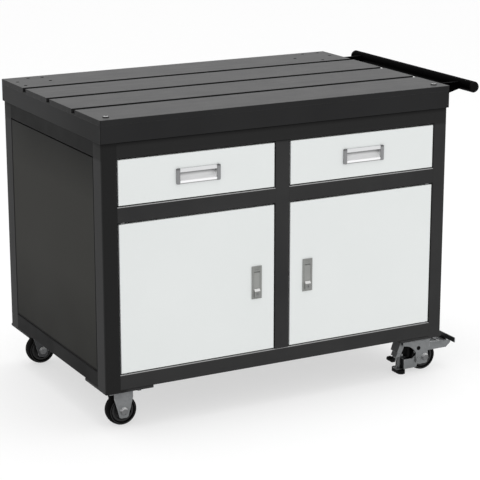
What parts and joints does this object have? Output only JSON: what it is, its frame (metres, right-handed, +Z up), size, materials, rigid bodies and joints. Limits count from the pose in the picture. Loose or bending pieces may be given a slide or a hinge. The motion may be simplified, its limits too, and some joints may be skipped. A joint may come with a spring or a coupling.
{
  "type": "machine work table",
  "caption": "Mobile machine work table: slotted steel top on a tube-framed cabinet with drawers, cupboards, a push bar, fixed casters and swivel casters with pedal floor brakes.",
  "frame": {"origin": "on the floor under the centre of the whole outline, push bar and brake treads included", "axes": "+X along the table to the push bar end, +Y from the drawers to the back, +Z up"},
  "size_m": [1.112, 0.66, 0.7975],
  "materials": {
    "top_grey": "satin powder coat",
    "frame_black": "fine textured powder coat",
    "front_white": "smooth satin enamel",
    "inner_grey": "satin enamel",
    "zinc": "bright zinc plating",
    "bright_steel": "plain fine-ground steel",
    "pull_aluminium": "satin anodised",
    "cap_grey": "moulded matt",
    "latch_grey": "die-cast, satin lacquer",
    "flap_grey": "die-cast, satin lacquer",
    "black_plastic": "moulded matt",
    "bar_black": "gloss black enamel",
    "tyre_black": "dull moulded rubber",
    "foot_rubber": "dull moulded rubber",
    "hub_grey": "moulded matt"
  },
  "bodies": {
    "cabinet": {"table_top": "top_grey", "top_apron": "top_grey", "top_screws": "bright_steel", "frame_posts": "frame_black", "frame_rails": "frame_black", "side_panels": "frame_black", "back_panels": "frame_black", "base_panel": "frame_black", "centre_partition": "frame_black", "shelves": "inner_grey", "slide_channels": "zinc", "hinge_pins": "bright_steel", "push_bar": "bar_black", "push_bar_brackets": "bar_black", "push_bar_plugs": "black_plastic", "corner_plates": "frame_black", "caster_bolts": "bright_steel", "fixed_forks": "zinc", "fixed_axles": "bright_steel", "swivel_plates": "zinc"},
    "left_drawer": {"left_drawer_front": "front_white", "left_drawer_tray": "inner_grey", "left_drawer_runners": "zinc", "left_drawer_pull": "pull_aluminium", "left_pull_caps": "cap_grey"},
    "left_door": {"left_door_panel": "front_white", "left_latch_case": "latch_grey"},
    "left_flap": {"left_latch_flap": "flap_grey"},
    "left_button": {"left_latch_button": "latch_grey"},
    "left_key": {"left_key_barrel": "bright_steel"},
    "left_bolt": {"left_latch_bolt": "bright_steel"},
    "right_drawer": {"right_drawer_front": "front_white", "right_drawer_tray": "inner_grey", "right_drawer_runners": "zinc", "right_drawer_pull": "pull_aluminium", "right_pull_caps": "cap_grey"},
    "right_door": {"right_door_panel": "front_white", "right_latch_case": "latch_grey"},
    "right_flap": {"right_latch_flap": "flap_grey"},
    "right_button": {"right_latch_button": "latch_grey"},
    "right_key": {"right_key_barrel": "bright_steel"},
    "right_bolt": {"right_latch_bolt": "bright_steel"},
    "front_fixed_wheel": {"front_fixed_wheel_hub": "hub_grey", "front_fixed_wheel_tyre": "tyre_black"},
    "front_swivel": {"front_swivel_fork": "zinc", "front_swivel_axle": "bright_steel"},
    "front_swivel_wheel": {"front_swivel_wheel_hub": "hub_grey", "front_swivel_wheel_tyre": "tyre_black"},
    "front_lever": {"front_brake_lever": "zinc"},
    "front_foot": {"front_brake_foot": "zinc", "front_brake_rubbers": "foot_rubber"},
    "rear_fixed_wheel": {"rear_fixed_wheel_hub": "hub_grey", "rear_fixed_wheel_tyre": "tyre_black"},
    "rear_swivel": {"rear_swivel_fork": "zinc", "rear_swivel_axle": "bright_steel"},
    "rear_swivel_wheel": {"rear_swivel_wheel_hub": "hub_grey", "rear_swivel_wheel_tyre": "tyre_black"},
    "rear_lever": {"rear_brake_lever": "zinc"},
    "rear_foot": {"rear_brake_foot": "zinc", "rear_brake_rubbers": "foot_rubber"}
  },
  "joints": [
    {"name": "left_drawer_slide", "type": "slide", "parent": "cabinet", "child": "left_drawer", "axis": [0, -1, 0], "range_m": [0, 0.38]},
    {"name": "left_door_hinge", "type": "hinge", "parent": "cabinet", "child": "left_door", "pos_m": [-0.498, -0.3145, 0.342], "axis": [0, 0, -1], "range_deg": [0, 115]},
    {"name": "left_flap_hinge", "type": "hinge", "parent": "left_door", "child": "left_flap", "pos_m": [-0.1305, -0.321, 0.3615], "axis": [-1, 0, 0], "range_deg": [0, 60]},
    {"name": "left_button_press", "type": "slide", "parent": "left_door", "child": "left_button", "axis": [0, 1, 0], "range_m": [0, 0.0035], "stiffness_N_per_m": 400},
    {"name": "left_key_turn", "type": "hinge", "parent": "left_button", "child": "left_key", "pos_m": [-0.1305, -0.3225, 0.3053], "axis": [0, -1, 0], "range_deg": [0, 90]},
    {"name": "left_bolt_slide", "type": "slide", "parent": "left_door", "child": "left_bolt", "axis": [-1, 0, 0], "range_m": [0, 0.008]},
    {"name": "right_drawer_slide", "type": "slide", "parent": "cabinet", "child": "right_drawer", "axis": [0, -1, 0], "range_m": [0, 0.38]},
    {"name": "right_door_hinge", "type": "hinge", "parent": "cabinet", "child": "right_door", "pos_m": [0.386, -0.3145, 0.342], "axis": [0, 0, 1], "range_deg": [0, 115]},
    {"name": "right_flap_hinge", "type": "hinge", "parent": "right_door", "child": "right_flap", "pos_m": [0.0185, -0.321, 0.3615], "axis": [-1, 0, 0], "range_deg": [0, 60]},
    {"name": "right_button_press", "type": "slide", "parent": "right_door", "child": "right_button", "axis": [0, 1, 0], "range_m": [0, 0.0035], "stiffness_N_per_m": 400},
    {"name": "right_key_turn", "type": "hinge", "parent": "right_button", "child": "right_key", "pos_m": [0.0185, -0.3225, 0.3053], "axis": [0, -1, 0], "range_deg": [0, 90]},
    {"name": "right_bolt_slide", "type": "slide", "parent": "right_door", "child": "right_bolt", "axis": [1, 0, 0], "range_m": [0, 0.008]},
    {"name": "front_fixed_wheel_spin", "type": "hinge", "parent": "cabinet", "child": "front_fixed_wheel", "pos_m": [-0.492, -0.27, 0.04], "axis": [0, 1, 0], "continuous": true},
    {"name": "front_swivel_turn", "type": "hinge", "parent": "cabinet", "child": "front_swivel", "pos_m": [0.38, -0.27, 0.095], "axis": [0, 0, 1], "continuous": true},
    {"name": "front_swivel_wheel_spin", "type": "hinge", "parent": "front_swivel", "child": "front_swivel_wheel", "pos_m": [0.411, -0.27, 0.04], "axis": [0, 1, 0], "continuous": true},
    {"name": "front_lever_rock", "type": "hinge", "parent": "front_swivel", "child": "front_lever", "pos_m": [0.39, -0.27, 0.068], "axis": [0, 1, 0], "range_deg": [-7.7, 0]},
    {"name": "front_foot_lift", "type": "hinge", "parent": "front_swivel", "child": "front_foot", "pos_m": [0.389, -0.27, 0.036], "axis": [0, 1, 0], "range_deg": [0, 9.96]},
    {"name": "rear_fixed_wheel_spin", "type": "hinge", "parent": "cabinet", "child": "rear_fixed_wheel", "pos_m": [-0.492, 0.27, 0.04], "axis": [0, 1, 0], "continuous": true},
    {"name": "rear_swivel_turn", "type": "hinge", "parent": "cabinet", "child": "rear_swivel", "pos_m": [0.38, 0.27, 0.095], "axis": [0, 0, 1], "continuous": true},
    {"name": "rear_swivel_wheel_spin", "type": "hinge", "parent": "rear_swivel", "child": "rear_swivel_wheel", "pos_m": [0.411, 0.27, 0.04], "axis": [0, 1, 0], "continuous": true},
    {"name": "rear_lever_rock", "type": "hinge", "parent": "rear_swivel", "child": "rear_lever", "pos_m": [0.39, 0.27, 0.068], "axis": [0, 1, 0], "range_deg": [-7.7, 0]},
    {"name": "rear_foot_lift", "type": "hinge", "parent": "rear_swivel", "child": "rear_foot", "pos_m": [0.389, 0.27, 0.036], "axis": [0, 1, 0], "range_deg": [0, 9.96]}
  ],
  "couplings": [
    {"joint": "left_bolt_slide", "follows": "left_flap_hinge", "m_per_rad": 0.0076299},
    {"joint": "right_bolt_slide", "follows": "right_flap_hinge", "m_per_rad": 0.0076299},
    {"joint": "front_foot_lift", "follows": "front_lever_rock", "ratio": -1.292},
    {"joint": "rear_foot_lift", "follows": "rear_lever_rock", "ratio": -1.292}
  ]
}
